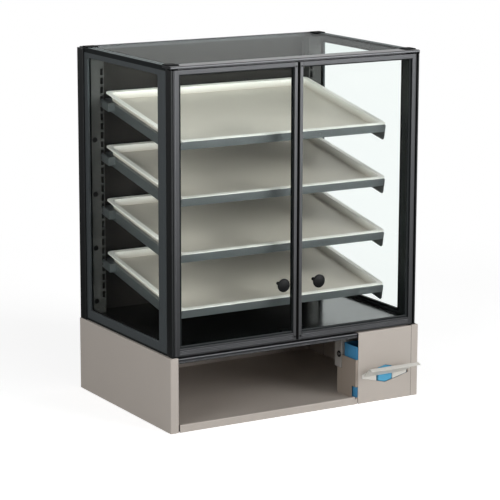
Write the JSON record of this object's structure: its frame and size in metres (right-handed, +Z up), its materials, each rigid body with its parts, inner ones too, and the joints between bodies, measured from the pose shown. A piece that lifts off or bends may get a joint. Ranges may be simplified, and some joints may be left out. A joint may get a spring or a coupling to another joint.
{
  "type": "countertop bread display bin",
  "caption": "Glazed countertop bread display case with hinged front doors and sloping tray shelves on a metal base with an open storage bay and a wipe dispenser.",
  "frame": {"origin": "on the counter, under the middle of the base's footprint", "axes": "+X to the customer's right as they face the doors, +Y from the doors to the back, +Z up"},
  "size_m": [0.813, 0.6264, 1.0085],
  "materials": {
    "charcoal_aluminium": "satin charcoal anodised",
    "charcoal_paint": "satin charcoal powder coat",
    "gloss_black": "gloss black enamel",
    "clear_glass": "clear toughened glass",
    "black_rubber": "matt black",
    "black_plastic": "fine-grained black moulding",
    "bright_steel": "plain steel",
    "ivory_tray": "smooth off-white melamine",
    "taupe_paint": "satin taupe powder coat",
    "white_plastic": "off-white moulding",
    "blue_wipes": "plain blue folded sheets",
    "grey_box": "light grey moulding"
  },
  "bodies": {
    "cabinet": {"front_post_left": "charcoal_aluminium", "front_post_right": "charcoal_aluminium", "rear_post_left": "charcoal_aluminium", "rear_post_right": "charcoal_aluminium", "sill_rail_left": "charcoal_aluminium", "sill_rail_right": "charcoal_aluminium", "side_frame_left": "charcoal_aluminium", "side_frame_right": "charcoal_aluminium", "top_rail_front": "charcoal_aluminium", "top_rail_left": "charcoal_aluminium", "top_rail_right": "charcoal_aluminium", "top_rail_rear": "charcoal_aluminium", "header_rail": "charcoal_aluminium", "back_panel": "charcoal_paint", "upright_left": "charcoal_paint", "upright_right": "charcoal_paint", "shelf_1": "charcoal_paint", "shelf_2": "charcoal_paint", "shelf_3": "charcoal_paint", "shelf_4": "charcoal_paint", "deck": "gloss_black", "side_glass_left": "clear_glass", "side_glass_right": "clear_glass", "roof_glass": "clear_glass", "side_glazing_beads": "black_rubber", "grommet": "black_rubber", "corner_caps": "black_plastic", "pivot_blocks": "black_plastic", "door_catches": "black_plastic", "rear_screws": "bright_steel", "base_side_left": "taupe_paint", "base_side_right": "taupe_paint", "base_floor": "taupe_paint", "base_back": "taupe_paint", "bay_ceiling": "taupe_paint", "dispenser_panel": "taupe_paint", "dispenser_box": "taupe_paint", "dispenser_lip": "white_plastic", "tissue_pack": "blue_wipes", "service_box": "grey_box"},
    "door_left": {"door_hinge_stile_left": "charcoal_aluminium", "door_closing_stile_left": "charcoal_aluminium", "door_rails_left": "charcoal_aluminium", "door_glass_left": "clear_glass", "door_gasket_left": "black_rubber", "door_knob_left": "black_plastic", "door_screws_left": "bright_steel"},
    "door_right": {"door_hinge_stile_right": "charcoal_aluminium", "door_closing_stile_right": "charcoal_aluminium", "door_rails_right": "charcoal_aluminium", "door_glass_right": "clear_glass", "door_gasket_right": "black_rubber", "door_knob_right": "black_plastic", "door_screws_right": "bright_steel"},
    "tray_1": {"tray_1": "ivory_tray"},
    "tray_2": {"tray_2": "ivory_tray"},
    "tray_3": {"tray_3": "ivory_tray"},
    "tray_4": {"tray_4": "ivory_tray"}
  },
  "joints": [
    {"name": "door_left_hinge", "type": "hinge", "parent": "cabinet", "child": "door_left", "pos_m": [-0.3835, -0.266, 0.60425], "axis": [0, 0, -1], "range_deg": [0, 90]},
    {"name": "door_right_hinge", "type": "hinge", "parent": "cabinet", "child": "door_right", "pos_m": [0.3835, -0.266, 0.60425], "axis": [0, 0, 1], "range_deg": [0, 90]},
    {"name": "tray_1_lift", "type": "slide", "parent": "cabinet", "child": "tray_1", "axis": [0, -0.1893, 0.9819], "range_m": [0, 0.06]},
    {"name": "tray_2_lift", "type": "slide", "parent": "cabinet", "child": "tray_2", "axis": [0, -0.1893, 0.9819], "range_m": [0, 0.06]},
    {"name": "tray_3_lift", "type": "slide", "parent": "cabinet", "child": "tray_3", "axis": [0, -0.1893, 0.9819], "range_m": [0, 0.06]},
    {"name": "tray_4_lift", "type": "slide", "parent": "cabinet", "child": "tray_4", "axis": [0, -0.1893, 0.9819], "range_m": [0, 0.06]}
  ]
}
